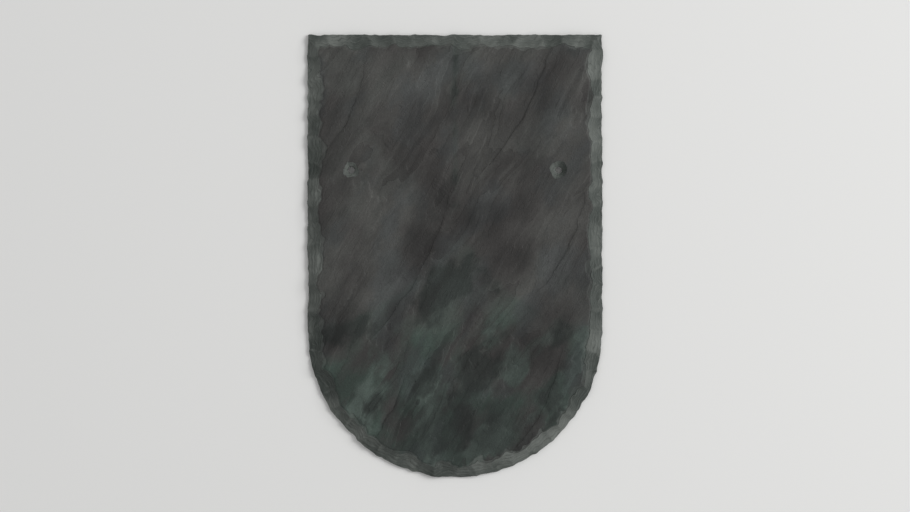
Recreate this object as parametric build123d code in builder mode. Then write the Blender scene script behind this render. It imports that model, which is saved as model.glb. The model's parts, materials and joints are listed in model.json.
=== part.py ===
"""Fish-scale roof slate: one leaf of split slate with a half-round tail.

The slate lies on its bed face, as it lies on the course below. X runs across it,
+Y points up the roof to the head, and +Z out of the weather face.
The origin is the middle of the bed face.
"""

import math
import os

from build123d import *

# The sheet, in millimetres
slate_width = 200.0
slate_length = 300.0
slate_thickness = 7.0

# Dressed edge: chips are struck off the weather face all round, one beside another
arris_height = 2.0  # upright strip of edge that the chips leave above the bed
dressing_width = 10.0  # how far in from the outline a chip reaches on the face
dressing_spread = 2.6  # difference between the shallowest and the deepest chip
chip_pitch = 14.0  # distance along the edge from one chip to the next
chip_stray = 4.0  # difference between the chips nearest to and furthest from even places
chip_hollow_radius = 13.0  # radius of a chip where it meets the upright strip

# Riven face: where the split dipped below a leaf, a long tongue of the face lies lower.
# The torn edge of the leaf bows out on its left, and from there its floor rises again
# to the face, along a straight line on its right.
leaf_thickness = 0.6
tongue_length = 100.0
tongue_width = 8.5
tongues = [  # x and y as shares of half the width and half the length, size, direction
    (0.54, -0.64, 0.88, 245.0),
    (0.14, -0.75, 0.62, 58.0),
    (-0.17, -0.57, 1.08, 60.0),
    (-0.49, -0.70, 0.62, 240.0),
    (-0.70, -0.29, 1.04, 63.0),
    (-0.34, -0.04, 1.36, 241.0),
    (0.38, -0.12, 1.50, 61.0),
    (0.69, 0.05, 0.84, 243.0),
    (-0.22, 0.61, 1.50, 60.0),
    (0.38, 0.69, 1.32, 242.0),
    (-0.78, 0.65, 0.84, 244.0),
    (0.82, 0.75, 0.60, 62.0),
]

# Nail holes, punched from the bed so that the face breaks out in a crater
nail_hole_radius = 2.25
nail_crater_radius = 6.0
nail_crater_angle = 110.0
nail_side_margin = 30.0  # from the side of the slate to the centre of the hole

# Laying: the holes clear the head of the course below by a nail's clearance
gauge = 102.0  # length of each course left showing
nail_clearance = 10.0

# Places that follow from the sizes above
half_width = slate_width / 2
head_y = slate_length / 2
tail_y = -slate_length / 2
spring_y = tail_y + half_width  # where the half round meets the straight sides
nail_x = half_width - nail_side_margin
nail_y = head_y - gauge + nail_clearance

# A chip's wall is a cone that widens upwards. It is carried a little past the face
# and below the strip, so that the cut runs clean through both.
dressing_depth = slate_thickness - arris_height
cut_margin = 1.0

# The share that a chip has of the spread moves on by a fixed step from chip to chip,
# and starts again past 1, so that neighbours differ and no repeat shows.
reach_sequence_step = 0.618
stray_sequence_step = 0.755

# Chips overlap their neighbours, so each row is cut in passes whose chips stand clear
widest_chip = 2 * (chip_hollow_radius + dressing_width + dressing_spread)
chip_passes = 1 + math.ceil((widest_chip + chip_stray) / chip_pitch)


def outline_edges():
    """The edges of the slate in plan, in order: left side, head, right side and tail."""
    with BuildLine():
        left = Line((-half_width, spring_y), (-half_width, head_y))
        head = Line(left @ 1, (half_width, head_y))
        right = Line(head @ 1, (half_width, spring_y))
        tail = ThreePointArc(right @ 1, (0, tail_y), left @ 0)
    return left, head, right, tail


def chip_cone(point, outward, reach):
    """The hollow that one blow of the knife leaves, reaching in from a point of the outline."""
    slope = reach / dressing_depth
    centre = point + outward * chip_hollow_radius
    cone = Cone(
        bottom_radius=chip_hollow_radius - slope * cut_margin,
        top_radius=chip_hollow_radius + slope * (dressing_depth + cut_margin),
        height=dressing_depth + 2 * cut_margin,
        align=(Align.CENTER, Align.CENTER, Align.MIN),
        mode=Mode.PRIVATE,
    )
    return Pos(centre.X, centre.Y, arris_height - cut_margin) * cone


def chip_rows():
    """Chips side by side along each edge, each a little off its even place and depth."""
    rows = []
    number = 0
    for edge in outline_edges():
        row = []
        count = max(1, round(edge.length / chip_pitch))
        for step in range(count):
            stray = (number * stray_sequence_step) % 1.0 - 0.5
            along = (step + 0.5) / count + stray * chip_stray / edge.length
            point = edge.position_at(along)
            outward = edge.tangent_at(along).cross(Vector(0, 0, 1))
            if outward.dot(point) < 0:
                outward = -outward
            deeper = (number * reach_sequence_step) % 1.0 - 0.5
            row.append(chip_cone(point, outward, dressing_width + deeper * dressing_spread))
            number += 1
        rows.append(row)
    return rows


def tongue_floor(x, y, width, direction):
    """The floor of a tongue: level with the face on its line, and a leaf deep at its ledge."""
    along = Vector(1, 0, 0).rotate(Axis.Z, direction)
    to_ledge = Vector(0, 1, 0).rotate(Axis.Z, direction)
    upright = Vector(0, 0, 1) + to_ledge * (leaf_thickness / width)
    return Plane(origin=(x, y, slate_thickness), x_dir=along, z_dir=upright)


dressing = chip_rows()

with BuildPart() as slate:
    # Sheet
    with BuildSketch():
        with BuildLine():
            add(outline_edges())
        make_face()
    extrude(amount=slate_thickness)

    # Dressed edge
    for row in dressing:
        for first in range(chip_passes):
            add(row[first::chip_passes], mode=Mode.SUBTRACT)

    # Riven face
    for x_share, y_share, size, direction in tongues:
        width = size * tongue_width
        with BuildSketch(tongue_floor(x_share * half_width, y_share * head_y, width, direction)):
            with BuildLine():
                start = (-size * tongue_length / 2, -cut_margin)
                stop = (size * tongue_length / 2, -cut_margin)
                ThreePointArc(start, (0, width), stop)
                Line(start, stop)
            make_face()
        extrude(amount=leaf_thickness + cut_margin, mode=Mode.SUBTRACT)

    # Nail holes
    with Locations((-nail_x, nail_y, slate_thickness), (nail_x, nail_y, slate_thickness)):
        CounterSinkHole(
            radius=nail_hole_radius,
            counter_sink_radius=nail_crater_radius,
            counter_sink_angle=nail_crater_angle,
        )

slate.part.label = "slate"

os.makedirs("parts", exist_ok=True)
export_step(slate.part, "parts/slate.step")
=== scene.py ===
import json
import math

import bmesh
import bpy
import numpy as np
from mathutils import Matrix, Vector


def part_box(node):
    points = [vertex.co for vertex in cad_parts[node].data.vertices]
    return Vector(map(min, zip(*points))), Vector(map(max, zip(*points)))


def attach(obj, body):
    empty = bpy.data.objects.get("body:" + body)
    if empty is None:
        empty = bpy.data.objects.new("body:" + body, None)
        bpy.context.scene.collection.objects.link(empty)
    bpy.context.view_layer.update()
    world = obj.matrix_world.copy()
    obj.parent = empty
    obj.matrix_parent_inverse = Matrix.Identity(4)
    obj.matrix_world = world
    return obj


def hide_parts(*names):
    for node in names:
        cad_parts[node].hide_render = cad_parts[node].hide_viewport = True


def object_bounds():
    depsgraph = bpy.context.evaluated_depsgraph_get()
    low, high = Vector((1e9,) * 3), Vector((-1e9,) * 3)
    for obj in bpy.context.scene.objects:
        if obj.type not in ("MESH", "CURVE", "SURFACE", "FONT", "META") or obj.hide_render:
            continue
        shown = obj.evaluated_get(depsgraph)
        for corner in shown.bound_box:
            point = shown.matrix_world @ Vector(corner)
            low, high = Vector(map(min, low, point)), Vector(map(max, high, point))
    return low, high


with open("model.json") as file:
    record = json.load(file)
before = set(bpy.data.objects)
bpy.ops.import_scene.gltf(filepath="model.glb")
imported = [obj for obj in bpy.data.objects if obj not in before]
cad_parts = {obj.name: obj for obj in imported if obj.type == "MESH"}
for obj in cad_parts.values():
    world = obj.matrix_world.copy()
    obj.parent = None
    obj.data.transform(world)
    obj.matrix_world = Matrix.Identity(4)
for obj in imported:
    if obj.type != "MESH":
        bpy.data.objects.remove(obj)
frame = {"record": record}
cad_low, cad_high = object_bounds()

# Camera: it looks straight down on the slate, as the photograph looks square on to the
# roof, with the tail at the bottom of the picture. The long lens keeps the sides parallel.

picture_width, picture_height = 910, 512
slate_share_of_height = 0.87  # of the picture's height that the slate takes up

lens = bpy.data.cameras.new("camera")
lens.lens = 100.0
seen_height = (cad_high.y - cad_low.y) / slate_share_of_height
sensor_height = lens.sensor_width * picture_height / picture_width
camera_height = cad_high.z + seen_height * lens.lens / sensor_height
camera = bpy.data.objects.new("camera", lens)
camera.location = (cad_low + cad_high).to_2d().to_3d() / 2 + Vector((0, 0, camera_height))
bpy.context.scene.collection.objects.link(camera)
bpy.context.scene.camera = camera

# Slate: one leaf of grey-green slate, riven from the block along its cleavage, so that
# both faces keep the ledges and streaks of the splitting. Its outline was struck with a
# slater's knife from the bed side, and each blow broke a chip from the weather face.

slate_low, slate_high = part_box("slate")
half_width = (slate_high[0] - slate_low[0]) / 2
half_length = (slate_high[1] - slate_low[1]) / 2
tail_y, head_y = slate_low[1], slate_high[1]
spring_y = tail_y + half_width  # where the half round meets the straight sides
bed_z, face_z = slate_low[2], slate_high[2]

streak_angle = math.radians(57)  # the streaks lean from the lower left to the upper right
touching = 0.000002  # points that are no further apart than this count as one

ripple_corners = 64  # corners of the plane before their slopes come round again
ripple_gain = 1.5  # brings the crests to about 1


def smooth(share):
    """The smoothstep of a share: level at 0 and at 1, with a slope of 1.5 halfway."""
    share = np.clip(share, 0, 1)
    return share * share * (3 - 2 * share)


def ripple(across, up, seed):
    """Smooth noise from about -1 to 1. Each whole-number corner of the plane slopes its own
    random way, and a point takes its height from the slopes of its four corners, each
    weighed by the smoothstep of its nearness."""
    corners = (ripple_corners, ripple_corners)
    turns = np.random.default_rng(seed).uniform(0, 2 * math.pi, corners)
    column, row = np.floor(across).astype(int), np.floor(up).astype(int)
    total = np.zeros(np.broadcast(across, up).shape)
    for right in (0, 1):
        for above in (0, 1):
            dx, dy = across - column - right, up - row - above
            turn = turns[(column + right) % ripple_corners, (row + above) % ripple_corners]
            nearness = smooth(1 - abs(dx)) * smooth(1 - abs(dy))
            total += nearness * (np.cos(turn) * dx + np.sin(turn) * dy)
    return total * ripple_gain


def ripples(x, y, waves, seed):
    """The sum of several ripples. Each wave is a height and a size, and takes the next
    seed."""
    total = 0
    for step, (height, size) in enumerate(waves):
        total = total + height * ripple(x / size, y / size, seed + step)
    return total


def streaks(x, y, length, width, seed):
    """Ripples drawn out along the streaks, with one to each length and each width."""
    along = x * math.cos(streak_angle) + y * math.sin(streak_angle)
    across = y * math.cos(streak_angle) - x * math.sin(streak_angle)
    return ripple(along / length, across / width, seed)


def ledges(height, rise, tread):
    """A slope turned into steps. Within each rise the height stays level for the share that
    is the tread, and then climbs to the next step by the smoothstep."""
    step = np.floor(height / rise)
    climb = smooth((height / rise - step - tread) / (1 - tread))
    return rise * (step + climb)


ring_points = {"side": 150, "head": 140, "tail": 320}  # of each ring along these edges


def outline(depth):
    """Points of the outline, drawn in by a depth that may differ from point to point. The
    sides and the head move in by the depth, and the half round keeps its centre and loses
    the depth from its radius, so that each ring has the shape of the one outside it. The
    last axis runs once round, anticlockwise from the right-hand springing."""
    side = np.arange(ring_points["side"]) / ring_points["side"]
    head = np.arange(ring_points["head"]) / ring_points["head"]
    turn = math.pi * (1 + np.arange(ring_points["tail"]) / ring_points["tail"])
    one, two = ring_points["side"], ring_points["side"] + ring_points["head"]
    three = two + ring_points["side"]
    width, top = half_width - depth, head_y - depth
    right, along, left, round_ = np.split(width, (one, two, three), axis=-1)
    top_right, top_along, top_left, _ = np.split(top, (one, two, three), axis=-1)
    x = (right, along * (1 - 2 * head), -left, round_ * np.cos(turn))
    y = (
        spring_y + side * (top_right - spring_y),
        top_along,
        top_left - side * (top_left - spring_y),
        spring_y + round_ * np.sin(turn),
    )
    return np.concatenate(x, axis=-1), np.concatenate(y, axis=-1)


def depth_in(x, y):
    """How far a point lies in from the outline: from the nearer side or the head above the
    springing, and from the half round below it."""
    above = np.minimum(half_width - abs(x), head_y - y)
    return np.where(y > spring_y, above, half_width - np.hypot(x, y - spring_y))


# Riven faces. Where ripples are given as pairs, here and below, a pair is the height of a
# ripple and its size, and where the height has no unit it is a strength.

thin_leaf = 0.00022
leaf_tread = 0.86  # share of each leaf that is level, before the climb to the next
leaf_streaks = [  # strength, length and width
    (1.0, 0.110, 0.027),
    (0.50, 0.045, 0.010),
    (0.16, 0.015, 0.0034),
]
leaf_specks = [(0.06, 0.0038)]
leaf_count, leaf_offset = 3.7, 0.7  # leaves gone for each 1 of the field, and where it is 0
streak_bend = [(0.008, 0.055)]
swell_height, swell_size = 0.00006, 0.120
rib_height, rib_length, rib_width = 0.00004, 0.050, 0.0055


def riven(x, y, seed):
    """How far a riven face lies below its highest leaf, and how many leaves down it is. The
    leaves end in ragged ledges along the streaks, where a bent field of drawn-out ripples
    is cut into steps, and they lie on a slow swell and under fine ribs."""
    bend = ripples(x, y, streak_bend, seed)
    bent_x, bent_y = x - bend * math.sin(streak_angle), y + bend * math.cos(streak_angle)
    field = 0
    for step, (strength, length, width) in enumerate(leaf_streaks):
        field = field + strength * streaks(bent_x, bent_y, length, width, seed + 1 + step)
    field = field + ripples(x, y, leaf_specks, seed + 4)
    leaves = np.maximum(leaf_count * field + leaf_offset, 0)
    swell = 1 + ripple(x / swell_size, y / swell_size, seed + 5)
    ribs = 1 + streaks(bent_x, bent_y, rib_length, rib_width, seed + 6)
    drop = thin_leaf * ledges(leaves, 1.0, leaf_tread) + swell_height * swell + rib_height * ribs
    return np.maximum(drop, 0), leaves


# Tongues, of the sizes and places that they have in the solid, with torn ledges

leaf_thickness = 0.0006
tongue_length = 0.100
tongue_width = 0.0085
tongues = [  # x and y as shares of half the width and length, size, direction, tone
    (0.54, -0.64, 0.88, 245.0, -0.8),
    (0.14, -0.75, 0.62, 58.0, 0.5),
    (-0.17, -0.57, 1.08, 60.0, -0.7),
    (-0.49, -0.70, 0.62, 240.0, 0.8),
    (-0.70, -0.29, 1.04, 63.0, -0.3),
    (-0.34, -0.04, 1.36, 241.0, -0.8),
    (0.38, -0.12, 1.50, 61.0, 0.7),
    (0.69, 0.05, 0.84, 243.0, -0.4),
    (-0.22, 0.61, 1.50, 60.0, 0.4),
    (0.38, 0.69, 1.32, 242.0, -0.4),
    (-0.78, 0.65, 0.84, 244.0, 0.3),
    (0.82, 0.75, 0.60, 62.0, -0.3),
]
tear_depth, tear_length, tear_width = 0.0012, 0.014, 0.0026
tear_specks = [(0.0006, 0.003)]
ledge_run = 0.0009  # how far in plan a tongue's ledge takes to fall
deepest_floor = 1.5  # in thicknesses of the leaf, where the tear runs out past the arc
tone_rise = 1.6  # a tone is full 1 / 1.6 of the way down to the ledge


def nearest_tongue(x, y):
    """How far in from the edge of the nearest tongue a point lies, how deep the tongue's
    floor is there, and its tone. A tongue is the part of a circle beyond a line. Its floor
    falls evenly from the line to the ledge along the arc, which is ragged."""
    ragged = tear_depth * streaks(x, y, tear_length, tear_width, 31)
    ragged = ragged + ripples(x, y, tear_specks, 32)
    nearest = np.full(x.shape, -np.inf)
    depth = np.zeros(x.shape)
    tone = np.zeros(x.shape)
    for share_x, share_y, size, turn, shade in tongues:
        right, up = x - share_x * half_width, y - share_y * half_length
        turn = math.radians(turn)
        along = right * math.cos(turn) + up * math.sin(turn)
        away = up * math.cos(turn) - right * math.sin(turn)
        reach, width = size * tongue_length / 2, size * tongue_width
        radius = (reach * reach + width * width) / (2 * width)
        inside = np.minimum(radius - np.hypot(along, away - width + radius) + ragged, away)
        floor = np.clip(away / width, 0, deepest_floor)
        closer = inside > nearest
        nearest = np.where(closer, inside, nearest)
        depth = np.where(closer, leaf_thickness * floor, depth)
        tone = np.where(closer, shade * smooth(tone_rise * floor), tone)
    return nearest, depth, tone


# Chips. The large ones are the solid's, and the small ones are where the knife trimmed the
# stone between them. The pitch is the distance from one to the next, and the stray how
# much they differ in that. The reach is how far in they go on the face, and the spread how
# much they differ in that. The radius is a chip's own, where it meets the upright strip.

arris_height = 0.002  # upright strip of edge that the chips leave above the bed
strip_z = bed_z + arris_height
dressing_depth = face_z - bed_z - arris_height
large_chips = {"pitch": 0.014, "stray": 0.004, "reach": 0.010, "spread": 0.0026, "radius": 0.013}
small_chips = {"pitch": 0.011, "stray": 0.009, "reach": 0.0042, "spread": 0.0062, "radius": 0.0045}
reach_sequence_step = 0.618
stray_sequence_step = 0.755
tone_sequence_step = 0.445


def chips(pitch, stray, reach, spread, radius):
    """Centre, in plan, radius, slope and number of the hollow that each blow left, side by
    side along the left side, the head, the right side and the tail. The slope is the reach
    over the height from the strip to the face."""
    side_length, tail_length = head_y - spring_y, math.pi * half_width
    lengths = (side_length, 2 * half_width, side_length, tail_length)
    counts = [max(1, round(length / pitch)) for length in lengths]
    number = np.arange(sum(counts))
    strays = stray * (number * stray_sequence_step % 1.0 - 0.5)
    share = []
    for length, count, off in zip(lengths, counts, np.split(strays, np.cumsum(counts)[:-1])):
        share.append((np.arange(count) + 0.5) / count + off / length)
    left, head, right, tail = share
    out = half_width + radius
    x = (
        np.full(left.size, -out),
        half_width * (2 * head - 1),
        np.full(right.size, out),
        out * np.cos(math.pi * tail),
    )
    y = (
        spring_y + side_length * left,
        np.full(head.size, head_y + radius),
        head_y - side_length * right,
        spring_y - out * np.sin(math.pi * tail),
    )
    run = (reach + spread * (number * reach_sequence_step % 1.0 - 0.5)) / dressing_depth
    return zip(np.concatenate(x), np.concatenate(y), np.full(run.size, radius), run, number)


def chip_reach(x, y):
    """How far a point lies beyond the edge of the nearest hollow, how high the stone stands
    there, how much higher the next chip would leave it, and the chip's tone. The stone
    rises from each hollow as a cone does, by the distance over the slope, and the lowest
    cone counts."""
    nearest = np.full(x.shape, np.inf)
    rise = np.full(x.shape, np.inf)
    next_rise = np.full(x.shape, np.inf)
    tone = np.zeros(x.shape)
    for centre_x, centre_y, radius, run, number in (*chips(**large_chips), *chips(**small_chips)):
        reach = np.hypot(x - centre_x, y - centre_y) - radius
        cone = reach / run
        nearest = np.minimum(nearest, reach)
        next_rise = np.minimum(next_rise, np.maximum(rise, cone))
        tone = np.where(cone < rise, number * tone_sequence_step % 1.0, tone)
        rise = np.minimum(rise, cone)
    return nearest, rise, next_rise - rise, tone


chip_wander = [(0.0024, 0.013), (0.0008, 0.004)]
chip_unevenness = [(0.0005, 0.011), (0.0002, 0.004)]
chip_hollow_depth = 0.0007  # of the middle of a chip below its cone
deepest_bite = 0.0006  # of a chip below the top of the upright strip


def dressing(x, y):
    """How high the chipped edge stands above the upright strip, before it is cut into
    ledges, how far the point is from a ridge between two chips, and the chip's tone. The
    chips were torn along the leaves, so their edges wander, and each is a hollow: it lies
    below its cone by half a sine wave from the strip up to the face."""
    wander_x, wander_y = ripples(x, y, chip_wander, 41), ripples(x, y, chip_wander, 43)
    _, rise, ridge, tone = chip_reach(x + wander_x, y + wander_y)
    rise = rise + ripples(x, y, chip_unevenness, 45)
    hollow = chip_hollow_depth * np.sin(math.pi * np.clip(rise / dressing_depth, 0, 1))
    return np.maximum(rise, -deepest_bite) - hollow, ridge, tone


spall_thickness = 0.00035
spall_reach = 0.0026  # back from the chips, where the ripples stand 1 above their threshold
spall_waves = [(1.0, 0.021), (0.6, 0.007)]
spall_threshold = 0.1
spall_run = 0.0004  # how far in plan a spall's edge takes to fall
layer_thickness, layer_tread = 0.0011, 0.7  # of the layers of stone that show in a chip
layer_start = 0.0003  # how far below the top of the strip the first of them begins
layer_share = 0.65  # of the chip's slope that is cut into layers


def weather_face(x, y):
    """Height of the weather face, and its marks, in millimetres where they are lengths. The
    face is the lower of two: the riven one, less its tongues and the thin spalls that broke
    back from the chips, and the chipped one, part slope and part ledges. The marks are how
    many leaves down it is, how far inside a tongue and how deep, the tongue's tone, how
    high the chipped edge stands, how far below the riven face and how far from a ridge,
    the chip's tone, and how far inside a spall."""
    drop, leaves = riven(x, y, 11)
    inside, depth, tone = nearest_tongue(x, y)
    rise, ridge, chip_tone = dressing(x, y)
    back = np.maximum(ripples(x, y, spall_waves, 47) - spall_threshold, 0)
    spall = dressing_depth + spall_reach * back - rise
    whole = face_z - drop - depth * smooth(inside / ledge_run + 0.5)
    whole = whole - spall_thickness * smooth(spall / spall_run + 0.5)
    layers = ledges(rise + layer_start, layer_thickness, layer_tread)
    chipped = strip_z + (1 - layer_share) * rise + layer_share * layers
    marks = {
        "leaves": leaves,
        "inside": 1000 * inside,
        "depth": 1000 * depth,
        "tone": tone,
        "rise": 1000 * rise,
        "gap": 1000 * (whole - strip_z - rise),
        "ridge": 1000 * ridge,
        "chip_tone": chip_tone,
        "spall": 1000 * spall,
    }
    return np.minimum(whole, chipped), marks


bed_spall_depth, bed_spall_width = 0.0007, 0.0045
bed_spall_waves = [(0.5, 0.009)]


def bed_face(x, y):
    """Height of the bed, how many leaves up it is, and how broken. The knife went in here
    and pressed thin spalls off along the outline, which fade with the depth in from it."""
    drop, leaves = riven(x, y, 71)
    spall = 1 - depth_in(x, y) / bed_spall_width + ripples(x, y, bed_spall_waves, 72)
    spall = smooth(spall)
    return bed_z + drop + bed_spall_depth * spall, leaves, spall


# Rings of the mesh, from the middle of the face to the middle of the bed, and the small
# shapes of the edge: a scallop at each chip, nicks, and layers of stone torn unevenly

dressed_band = 0.0135  # strip along the outline that gets closely spaced rings
band_rings = 27
face_rings = 66
wall_rings = 5
bed_rings = 18
bed_ring_power = 1.5  # by which the rings of the bed lie wider apart further in
scallop_depth, scallop_fade = 0.0005, 0.0018
nick_depth, nick_offset = 0.0008, 0.25
nick_waves = [(1.0, 0.016), (0.7, 0.005)]
edge_layers, edge_tear_depth, edge_tear_length = 9, 0.00025, 0.004
edge_layer_waves = [(0.7, 0.02)]


def slate_points():
    """The section carried round the outline, closed on itself. The section runs from the
    middle of the weather face out to the outline, down the edge and back in under the bed,
    as a depth in from the outline and a level from the bed, 0, to the face, 1. Scallops,
    nicks and torn layers add to the depth, and fade out across the dressed band."""
    band = np.linspace(0, dressed_band, band_rings, endpoint=False)
    face = np.linspace(dressed_band, half_width, face_rings)
    top = np.concatenate((band, face))[::-1]
    under = half_width * (np.arange(bed_rings + 1) / bed_rings) ** bed_ring_power
    wall = np.linspace(1, 0, wall_rings + 1)[1:-1]
    depth = np.concatenate((top, np.zeros(wall.size), under))[:, None]
    level = np.concatenate((np.ones(top.size), wall, np.zeros(under.size)))[:, None]

    points = 2 * ring_points["side"] + ring_points["head"] + ring_points["tail"]
    flat_x, flat_y = outline(np.zeros((1, points)))
    scallop = smooth(1 - chip_reach(flat_x, flat_y)[0] / scallop_fade)
    nick = np.clip(nick_offset + ripples(flat_x, flat_y, nick_waves, 51), 0, None)
    layer = level * edge_layers + ripples(flat_x, flat_y, edge_layer_waves, 53)
    torn = 1 + ripple(layer + flat_x / edge_tear_length, flat_y / edge_tear_length, 54)
    inset = scallop_depth * scallop + nick_depth * nick
    inset = inset + edge_tear_depth * torn * np.sin(math.pi * level) ** 0.5
    x, y = outline(depth + inset * (1 - smooth(depth / dressed_band)))

    bed = bed_face(x, y)[0]
    return np.stack((x, y, bed + level * (weather_face(x, y)[0] - bed)), axis=-1)


def sheet_of(points, name):
    """An object whose mesh has a face between each four neighbours of a grid of points that
    runs round on itself. Points that meet are welded, which closes seams and poles."""
    here = np.arange(points[..., 0].size).reshape(points.shape[:2])
    there = np.roll(here, -1, axis=1)
    quads = np.stack((here[:-1], here[1:], there[1:], there[:-1]), axis=-1).reshape(-1, 4)
    mesh = bpy.data.meshes.new(name)
    mesh.from_pydata(points.reshape(-1, 3), [], quads)
    welded = bmesh.new()
    welded.from_mesh(mesh)
    bmesh.ops.remove_doubles(welded, verts=welded.verts, dist=touching)
    bmesh.ops.recalc_face_normals(welded, faces=welded.faces)
    welded.to_mesh(mesh)
    welded.free()
    made = bpy.data.objects.new(name, mesh)
    bpy.context.scene.collection.objects.link(made)
    return made


nail_hole_radius = 0.00225
nail_crater_radius = 0.006
nail_crater_angle = math.radians(110)
crater_slope = math.tan(nail_crater_angle / 2)
crater_leaf, crater_tread = 0.0006, 0.5
crater_ledge_share = 0.6  # of the crater's slope that is cut into ledges
entry_flare, entry_height = 0.0006, 0.0008

hole_points, hole_rings = 48, 46
hole_margin_below, hole_margin_above = 0.001, 0.0015  # past the bed and past the face
hole_ring = 6  # radius, in ripples, of the ring round which a hole's ripples are read
crater_waves = [(0.30, 5), (0.10, 1)]
throat_waves = [(0.0002, 2)]
bore_roughness, bore_rough_height = 0.00008, 0.0011


def nail_hole(x, y, seed):
    """A cutter of the stone that the punch took out: a radius, as a function of the turn and
    the height, carried round the nail's axis. It is the hole's own radius, a little more
    where the punch went in, and above the throat it opens leaf by leaf to the crater."""
    turn = 2 * math.pi * np.arange(hole_points) / hole_points
    lowest, highest = bed_z - hole_margin_below, face_z + hole_margin_above
    height = np.linspace(lowest, highest, hole_rings)[:, None]
    ring_x, ring_y = hole_ring * np.cos(turn), hole_ring * np.sin(turn)
    throat_z = face_z - (nail_crater_radius - nail_hole_radius) / crater_slope
    above = height - throat_z + ripples(ring_x, ring_y, throat_waves, seed + 2)
    above = np.maximum(above, 0)
    leaves = crater_ledge_share * ledges(above, crater_leaf, crater_tread)
    opening = crater_slope * ((1 - crater_ledge_share) * above + leaves)
    entry = entry_flare * smooth(1 - (height - bed_z) / entry_height)
    radius = nail_hole_radius + entry + opening * (1 + ripples(ring_x, ring_y, crater_waves, seed))
    radius = radius + bore_roughness * ripple(ring_x + height / bore_rough_height, ring_y, seed + 3)
    radius[0] = radius[-1] = 0
    height = np.broadcast_to(height, radius.shape).copy()
    height[0], height[-1] = height[1], height[-2]
    points = np.stack((x + radius * np.cos(turn), y + radius * np.sin(turn), height), axis=-1)
    return sheet_of(points, "nail_hole")


sharpest_smooth = math.radians(38)  # edges that turn by more than this stay sharp

slate_stone = sheet_of(slate_points(), "slate_stone")
nails = [m["pos_m"] for m in frame["record"]["mounts"] if m["name"].startswith("nail_hole")]
for seed, nail in zip((81, 86), nails):
    cutter = nail_hole(nail[0], nail[1], seed)
    cut = slate_stone.modifiers.new("nail_hole", "BOOLEAN")
    cut.object, cut.operation, cut.solver = cutter, "DIFFERENCE", "MANIFOLD"
    punched = slate_stone.evaluated_get(bpy.context.evaluated_depsgraph_get())
    slate_stone.data = bpy.data.meshes.new_from_object(punched)
    slate_stone.modifiers.clear()
    bpy.data.objects.remove(cutter)

with bpy.context.temp_override(object=slate_stone, selected_editable_objects=[slate_stone]):
    bpy.ops.object.shade_smooth_by_angle(angle=sharpest_smooth)

# Weathering: the course above lay on all but the tail of the slate

gauge = 0.102  # length of each course left showing
side_gap = 0.003  # between neighbours of a course
shelter_fade = 0.005
shelter_waves = [(0.0016, 0.014), (0.0008, 0.005)]
growth_top, growth_length = -0.032, 0.052  # y where it starts, and how far down it is full
growth_waves = [(0.016, 0.045), (0.006, 0.012)]
damp_x, damp_y = 0.004, -0.121
damp_half_width, damp_half_height = 0.060, 0.036
damp_streak, damp_streak_length, damp_streak_width = 0.55, 0.030, 0.009
damp_waves = [(0.25, 0.007)]
damp_at_edge, damp_slope = 0.25, 0.9  # before it is smoothed, and its growth to the middle


def shelter(x, y):
    """From 0 where the slate showed to 1 where the course above lay on it: inside the half
    rounds of its two neighbours there, or above their springing."""
    neighbour_x, neighbour_y = half_width + side_gap / 2, spring_y + gauge
    under_round = half_width - np.hypot(abs(x) - neighbour_x, y - neighbour_y)
    under = np.where(y > neighbour_y, half_width - abs(abs(x) - neighbour_x), under_round)
    return smooth((under + ripples(x, y, shelter_waves, 61)) / shelter_fade + 0.5)


def growth(x, y):
    """How much green and teal film has grown, for rain keeps the tail wet the longest: the
    smoothstep of the distance down from the growth's top, as a share of its length. It is
    0 in the upper part of what showed and 1 at the tail, and ripples move it up and down."""
    return smooth((growth_top - y + ripples(x, y, growth_waves, 65)) / growth_length)


def damp(x, y):
    """The patch of dark damp that gathers above the tail: the smoothstep of how far a point
    lies inside an ellipse, whose edge streaks and ripples tear."""
    blot = 1 - np.hypot((x - damp_x) / damp_half_width, (y - damp_y) / damp_half_height)
    blot = blot + damp_streak * streaks(x, y, damp_streak_length, damp_streak_width, 63)
    blot = blot + ripples(x, y, damp_waves, 64)
    return smooth(damp_at_edge + damp_slope * blot)


place = np.empty(3 * len(slate_stone.data.vertices))
slate_stone.data.vertices.foreach_get("co", place)
x, y, z = place.reshape(-1, 3).T
top, marks = weather_face(x, y)
marks["damp"] = damp(x, y)
marks["shelter"] = shelter(x, y)
marks["growth"] = growth(x, y)
bed, bed_leaves, bed_spall = bed_face(x, y)
on_top, on_bed = z > top - touching, z < bed + touching
far = 5.0  # millimetres from any tongue, ridge or spall
all_broken = 2.0  # a gap of the edge and of the holes, which are broken stone all over
bed_gap, bed_gap_slope = -0.9, 2.0  # a gap on the bed, which is broken in its spalls
elsewhere = {  # marks of the bed, the edge and the holes
    "leaves": np.where(on_bed, bed_leaves, 0),
    "inside": -far,
    "depth": 0.0,
    "tone": 0.0,
    "rise": 1000 * (z - strip_z),
    "gap": np.where(on_bed, bed_gap_slope * bed_spall + bed_gap, all_broken),
    "ridge": far,
    "chip_tone": 0.5,
    "spall": -far,
    "damp": 0.0,
    "shelter": 1.0,
    "growth": 0.0,
}
for name, value in marks.items():
    mark = slate_stone.data.attributes.new(name, "FLOAT", "POINT")
    value = np.where(on_top, value, elsewhere[name])
    mark.data.foreach_set("value", value.astype(np.float32))


def wire(tree, socket, value):
    """Links a socket to another node's output, or sets it to a plain value."""
    if isinstance(value, bpy.types.NodeSocket):
        tree.links.new(value, socket)
    else:
        socket.default_value = value


def figure(tree, operation, *terms):
    """The output of a Math node on its terms."""
    node = tree.nodes.new("ShaderNodeMath")
    node.operation = operation
    for socket, term in zip(node.inputs, terms):
        wire(tree, socket, term)
    return node.outputs[0]


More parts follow.
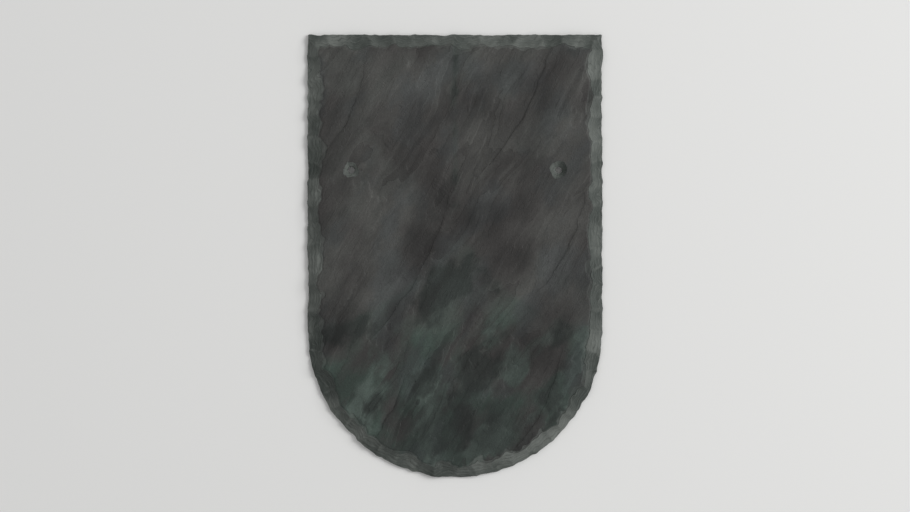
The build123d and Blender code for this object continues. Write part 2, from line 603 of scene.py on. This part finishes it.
def between(tree, value, low, high, to_low=0.0, to_high=1.0):
    """A value eased from one number to another while it goes from low to high."""
    node = tree.nodes.new("ShaderNodeMapRange")
    node.interpolation_type = "SMOOTHSTEP"
    for socket, term in zip(node.inputs, (value, low, high, to_low, to_high)):
        wire(tree, socket, term)
    return node.outputs["Result"]


def streaked_group():
    """Noise drawn out along the streaks. The place is turned so that they run along X, and
    divided by a length and a width, and the middle half of the noise is eased out to run
    from 0 to 1."""
    group = bpy.data.node_groups.new("streaked", "ShaderNodeTree")
    group.interface.new_socket("Place", in_out="INPUT", socket_type="NodeSocketVector")
    for name in ("Length", "Width", "Seed", "Detail"):
        group.interface.new_socket(name, in_out="INPUT", socket_type="NodeSocketFloat")
    group.interface.new_socket("Value", in_out="OUTPUT", socket_type="NodeSocketFloat")
    given = group.nodes.new("NodeGroupInput").outputs
    turned = group.nodes.new("ShaderNodeVectorRotate")
    turned.rotation_type = "Z_AXIS"
    turned.inputs["Angle"].default_value = -streak_angle
    group.links.new(given["Place"], turned.inputs["Vector"])
    size = group.nodes.new("ShaderNodeCombineXYZ")
    for axis, name in (("X", "Length"), ("Y", "Width"), ("Z", "Width")):
        group.links.new(given[name], size.inputs[axis])
    drawn = group.nodes.new("ShaderNodeVectorMath")
    drawn.operation = "DIVIDE"
    group.links.new(turned.outputs[0], drawn.inputs[0])
    group.links.new(size.outputs[0], drawn.inputs[1])
    noise = group.nodes.new("ShaderNodeTexNoise")
    noise.noise_dimensions = "4D"
    noise.inputs["Scale"].default_value = 1
    noise.inputs["Roughness"].default_value = 0.52
    group.links.new(drawn.outputs[0], noise.inputs["Vector"])
    group.links.new(given["Seed"], noise.inputs["W"])
    group.links.new(given["Detail"], noise.inputs["Detail"])
    spread = between(group, noise.outputs[0], 0.25, 0.75)
    group.links.new(spread, group.nodes.new("NodeGroupOutput").inputs["Value"])
    return group


def terraced_group():
    """A value cut into steps of one, as leaves end one above another. The height stays level
    for most of each step and then climbs at once, the lip is 1 just before the climb, and
    the foot is 1 just after it."""
    # In the stone's material the lips carry painted highlights and the feet painted shade.
    foot_end, lip_start, climb_start = 0.25, 0.70, 0.93
    group = bpy.data.node_groups.new("terraced", "ShaderNodeTree")
    group.interface.new_socket("Value", in_out="INPUT", socket_type="NodeSocketFloat")
    for name in ("Height", "Lip", "Foot"):
        group.interface.new_socket(name, in_out="OUTPUT", socket_type="NodeSocketFloat")
    value = group.nodes.new("NodeGroupInput").outputs["Value"]
    share = figure(group, "FRACT", value)
    climb = between(group, share, climb_start, 1.0)
    done = group.nodes.new("NodeGroupOutput").inputs
    group.links.new(figure(group, "ADD", figure(group, "FLOOR", value), climb), done["Height"])
    group.links.new(between(group, share, lip_start, climb_start), done["Lip"])
    group.links.new(between(group, share, foot_end, 0.0), done["Foot"])
    return group


warm_grey = (0.0456, 0.0433, 0.0413, 1)
green_grey = (0.0296, 0.0436, 0.0362, 1)
blue_grey = (0.0350, 0.0398, 0.0408, 1)
teal_film = (0.058, 0.077, 0.067, 1)
dark_blot = (0.0165, 0.0210, 0.0188, 1)
dark_damp = (0.0085, 0.0108, 0.0100, 1)
chip_dark = (0.043, 0.051, 0.046, 1)
chip_pale = (0.146, 0.158, 0.146, 1)
# The last three colours are painted light: shade at the feet of the chips' layers, and highlights
# on their lips and on the ridges between chips.
chip_layer_foot_shade = (0.036, 0.042, 0.038, 1)
chip_layer_lip_highlight = (0.138, 0.149, 0.137, 1)
chip_ridge_highlight = (0.145, 0.156, 0.143, 1)

# Shares by which one colour covers another where its mask is full
blue_strength, film_strength, blot_strength, damp_strength = 0.5, 0.62, 0.82, 0.56
# The foot, lip and ridge shares are those of painted shade and painted highlights.
spall_strength, foot_shade_strength, lip_highlight_strength, ridge_highlight_strength = 0.38, 0.50, 0.35, 0.42
sheltered_share = 0.75  # of the green, the film and the blots that sheltered stone lacks

# Relief that the mesh is too coarse for, in millimetres
leaf_relief = 1000 * thin_leaf
spall_relief, flake_relief, layer_relief = 0.30, 0.065, 0.22
streak_relief, grain_relief, mottle_relief = 0.06, 0.10, 0.10


def stone_material():
    """Grey-green slate. Its colour is a warm grey and a green grey in clouds, streaked along
    the cleavage, with dark blots and a teal film on the part that showed, both the film and
    the green growing towards the tail, a patch of damp above the tail, a tone of its own
    for each leaf, and paler stone in thin layers where it was broken."""
    material = bpy.data.materials.new("slate_stone")
    material.use_nodes = True
    tree = material.node_tree
    shader = tree.nodes["Principled BSDF"]
    place = tree.nodes.new("ShaderNodeTexCoord").outputs["Object"]
    streaked_noise, terraced_steps = streaked_group(), terraced_group()

    def streaked(length, width, seed, detail):
        """The value of a placed streaked group, its sizes in metres."""
        node = tree.nodes.new("ShaderNodeGroup")
        node.node_tree = streaked_noise
        terms = {"Place": place, "Length": length, "Width": width, "Seed": seed, "Detail": detail}
        for name, term in terms.items():
            wire(tree, node.inputs[name], term)
        return node.outputs["Value"]

    def terraced(value):
        """The outputs of a placed terraced group."""
        node = tree.nodes.new("ShaderNodeGroup")
        node.node_tree = terraced_steps
        wire(tree, node.inputs["Value"], value)
        return node.outputs

    def mark(name):
        """The mark of this name on the mesh."""
        node = tree.nodes.new("ShaderNodeAttribute")
        node.attribute_name = name
        return node.outputs["Fac"]

    def laid_over(under, colour, share):
        """A colour laid over another by a share."""
        node = tree.nodes.new("ShaderNodeMix")
        node.data_type = "RGBA"
        for number, value in ((0, share), (6, under), (7, colour)):
            wire(tree, node.inputs[number], value)
        return node.outputs[2]

    def eased(value, low, high, to_low=0.0, to_high=1.0):
        """A value eased from one number to another, in this material."""
        return between(tree, value, low, high, to_low, to_high)

    def plus(start, value, strength):
        """A start and a value times its strength."""
        return figure(tree, "MULTIPLY_ADD", value, strength, start)

    def swung(value, strength):
        """A factor about 1 that swings with a value from 0 to 1."""
        return plus(1 - strength / 2, value, strength)

    def product(*terms):
        """All the terms multiplied together."""
        total = terms[0]
        for term in terms[1:]:
            total = figure(tree, "MULTIPLY", total, term)
        return total

    clouds = streaked(0.060, 0.040, 1, 6)
    mottle = streaked(0.028, 0.017, 2, 5)
    long_streaks = streaked(0.080, 0.0200, 3, 3)
    short_streaks = streaked(0.013, 0.0028, 4, 5)
    grain = streaked(0.0011, 0.0009, 5, 3)
    film = streaked(0.046, 0.024, 6, 6)
    blots = streaked(0.040, 0.026, 7, 6)
    flakes = streaked(0.020, 0.0070, 8, 6)
    hairs = streaked(0.060, 0.0020, 9, 3)
    blueness = streaked(0.050, 0.030, 10, 6)
    # Its seed puts paler broken stone along the right and lower right of the rim, the side facing
    # the lamp: random tone and partly a painted highlight.
    rim_patches_and_highlight = streaked(0.034, 0.026, 16, 4)

    # Places on the stone: how many leaves, flakes and layers down, and from 0 to 1 a tongue,
    # a spall, a ridge between chips, broken stone, and the part that showed. The short
    # streaks make their edges ragged, by a share of a leaf or of a millimetre.
    ragged = figure(tree, "SUBTRACT", short_streaks, 0.5)
    leaf_place = plus(mark("leaves"), ragged, 0.22)
    flake_place = product(flakes, 7.0)
    leaf, flake = terraced(leaf_place), terraced(flake_place)
    layer = terraced(plus(product(mottle, 2.6), mark("rise"), 1.1))
    tongue = eased(plus(mark("inside"), ragged, 0.8), -0.12, 0.12)
    spall = eased(plus(mark("spall"), ragged, 0.7), -0.08, 0.08)
    ridge = eased(plus(mark("ridge"), ragged, 0.4), 0.45, 0.0)
    broken = eased(plus(mark("gap"), ragged, 0.5), -0.05, 0.10)
    shown = plus(1.0, mark("shelter"), -sheltered_share)

    # Colour of the weathered stone
    leaf_tone = figure(tree, "SINE", product(leaf["Height"], 2.3))
    green = plus(eased(clouds, 0.20, 0.80, 0.02, 1.0), leaf_tone, 0.12)
    green = product(green, shown, swung(mark("growth"), 0.80))
    base = laid_over(warm_grey, green_grey, green)
    base = laid_over(base, blue_grey, eased(blueness, 0.45, 0.80, 0.0, blue_strength))
    grown = swung(mark("growth"), 1.4)
    base = laid_over(base, teal_film, product(eased(film, 0.48, 0.76), grown, shown, film_strength))
    base = laid_over(base, dark_blot, product(eased(blots, 0.50, 0.76), shown, blot_strength))

    # How pale or dark it is from place to place, as a factor about 1. Most of it is the stone's own
    # tone; the paler lips of the leaves and flakes are painted highlights, and the darker feet of
    # the flakes painted shade.
    level = product(
        swung(clouds, 1.10),
        swung(long_streaks, 0.28),
        swung(mottle, 0.46),
        swung(short_streaks, 0.06),
        swung(grain, 0.26),
        plus(1.0, product(mark("tone"), tongue), 0.35),
        plus(1.0, leaf_tone, 0.11),
        # Painted highlights on the lips of the steps, and painted shade at the feet of the flakes'
        # steps
        plus(1.0, leaf["Lip"], 0.12),
        plus(1.0, flake["Lip"], 0.06),
        plus(1.0, flake["Foot"], -0.08),
        plus(1.0, eased(hairs, 0.78, 0.95), 0.12),
    )
    shaded = tree.nodes.new("ShaderNodeVectorMath")
    shaded.operation = "SCALE"
    wire(tree, shaded.inputs[0], base)
    wire(tree, shaded.inputs["Scale"], level)
    damp_share = product(mark("damp"), swung(mottle, 1.2), damp_strength)
    stone = laid_over(shaded.outputs[0], dark_damp, damp_share)

    # Colour of the broken stone, with painted shade at the feet of its layers and painted
    # highlights on their lips and on the ridges between chips
    # The patches make the right and lower right of the rim paler: partly the stone's random tone,
    # partly a painted highlight.
    chip_level = product(mark("chip_tone"), 0.22)
    chip_level = plus(chip_level, rim_patches_and_highlight, 0.48)
    chip_level = plus(chip_level, mottle, 0.30)
    fresh = laid_over(chip_dark, chip_pale, eased(chip_level, 0.22, 0.84))
    # Painted shade at the layers' feet, and painted highlights on their lips and on the ridges
    fresh = laid_over(fresh, chip_layer_foot_shade, product(layer["Foot"], foot_shade_strength))
    fresh = laid_over(fresh, chip_layer_lip_highlight, product(layer["Lip"], lip_highlight_strength))
    fresh = laid_over(fresh, chip_ridge_highlight, product(ridge, flakes, ridge_highlight_strength))
    fresh_share = figure(tree, "MAXIMUM", broken, product(spall, spall_strength))
    wire(tree, shader.inputs["Base Color"], laid_over(stone, fresh, fresh_share))

    # Broken stone is rougher, and damp stone smoother
    rough = plus(0.54, mottle, 0.18)
    rough = plus(rough, broken, 0.16)
    rough = plus(rough, mark("damp"), -0.18)
    wire(tree, shader.inputs["Roughness"], rough)
    shader.inputs["Specular IOR Level"].default_value = 0.3

    # Relief. Where the stone is broken, the steps of leaves and flakes and the floors of
    # tongues give way to the layers in the chips.
    unbroken = figure(tree, "SUBTRACT", 1.0, broken)
    leaf_step = product(figure(tree, "SUBTRACT", leaf["Height"], leaf_place), unbroken)
    flake_step = product(figure(tree, "SUBTRACT", flake["Height"], flake_place), unbroken)
    height = product(figure(tree, "ADD", leaf_step, leaf_place), -leaf_relief)
    height = plus(height, spall, -spall_relief)
    height = figure(tree, "SUBTRACT", height, product(mark("depth"), tongue, unbroken))
    height = plus(height, figure(tree, "ADD", flake_step, flake_place), flake_relief)
    height = plus(height, short_streaks, streak_relief)
    height = plus(height, product(layer["Height"], broken), layer_relief)
    height = plus(height, grain, grain_relief)
    height = plus(height, mottle, mottle_relief)
    bump = tree.nodes.new("ShaderNodeBump")
    bump.inputs["Strength"].default_value = 0.8
    bump.inputs["Distance"].default_value = 0.001
    wire(tree, bump.inputs["Height"], height)
    wire(tree, shader.inputs["Normal"], bump.outputs[0])
    return material


slate_stone.data.materials.clear()
slate_stone.data.materials.append(stone_material())
first_material = np.zeros(len(slate_stone.data.polygons), dtype=int)
slate_stone.data.polygons.foreach_set("material_index", first_material)

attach(slate_stone, "root")
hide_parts("slate")

# Floor and light: a plain pale floor, a broad lamp from the right of the picture, where the
# photograph's light comes from, and an even pale sky.

floor_reach = 3  # metres out from the middle of the slate

floor_corners = [(-1, -1), (1, -1), (1, 1), (-1, 1)]
floor_points = [(floor_reach * x, floor_reach * y, 0) for x, y in floor_corners]
floor_mesh = bpy.data.meshes.new("floor")
floor_mesh.from_pydata(floor_points, [], [(0, 1, 2, 3)])
floor = bpy.data.objects.new("floor", floor_mesh)
bpy.context.scene.collection.objects.link(floor)
paint = bpy.data.materials.new("floor")
paint.use_nodes = True
paint_shader = paint.node_tree.nodes["Principled BSDF"]
paint_shader.inputs["Base Color"].default_value = (0.78, 0.78, 0.77, 1)
paint_shader.inputs["Roughness"].default_value = 0.9
floor_mesh.materials.append(paint)

lamp_data = bpy.data.lights.new("key", "AREA")
lamp_data.size = 1.75
lamp_data.energy = 70
lamp = bpy.data.objects.new("key", lamp_data)
lamp.location = (2.5, 0.75, 1.875)
lamp.rotation_euler = (-lamp.location).to_track_quat("-Z", "Y").to_euler()
bpy.context.scene.collection.objects.link(lamp)

sky = bpy.data.worlds.new("sky")
sky.use_nodes = True
sky_light = sky.node_tree.nodes["Background"]
sky_light.inputs["Color"].default_value = (1, 1, 1, 1)
sky_light.inputs["Strength"].default_value = 0.537
bpy.context.scene.world = sky

bpy.context.scene.view_settings.view_transform = "Standard"
